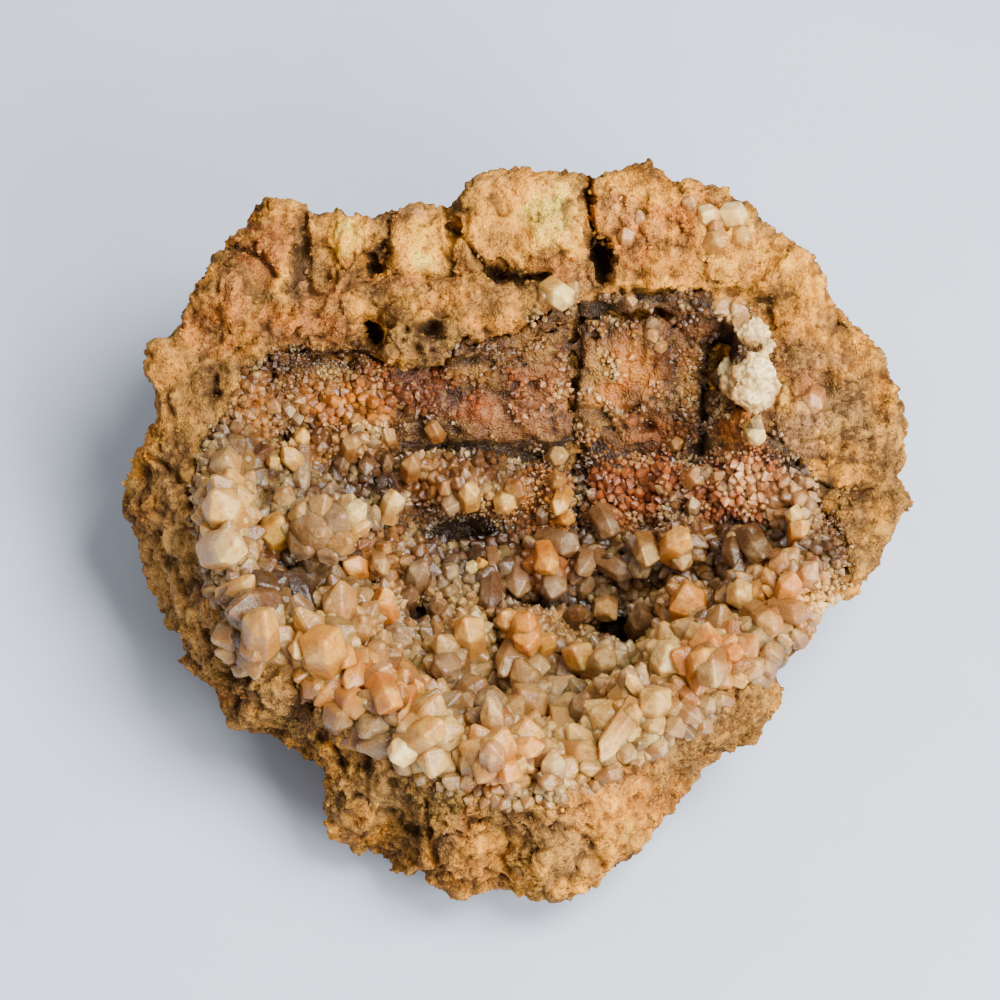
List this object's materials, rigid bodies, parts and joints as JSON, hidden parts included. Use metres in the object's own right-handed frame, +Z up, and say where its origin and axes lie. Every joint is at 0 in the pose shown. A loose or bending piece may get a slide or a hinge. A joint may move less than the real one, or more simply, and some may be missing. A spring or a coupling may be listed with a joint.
{
  "type": "geode half",
  "caption": "Half of a broken geode lying on its back: a rough brown stone rind around a hollow lined with milky beige quartz crystals",
  "frame": {"origin": "on the ground under the middle of the whole object's box, the stone lying on its flat worn patch", "axes": "+X to the right and the longest way across, +Y to the back, where the rim is highest, +Z up out of the hollow"},
  "size_m": [0.1476, 0.132, 0.0619],
  "materials": {
    "rind_stone": "rough and matt, iron-stained, pitted",
    "quartz": "milky and lustrous, orange-stained at the roots"
  },
  "bodies": {
    "root": {"rind": "rind_stone", "crystal_crust": "quartz"}
  },
  "joints": []
}
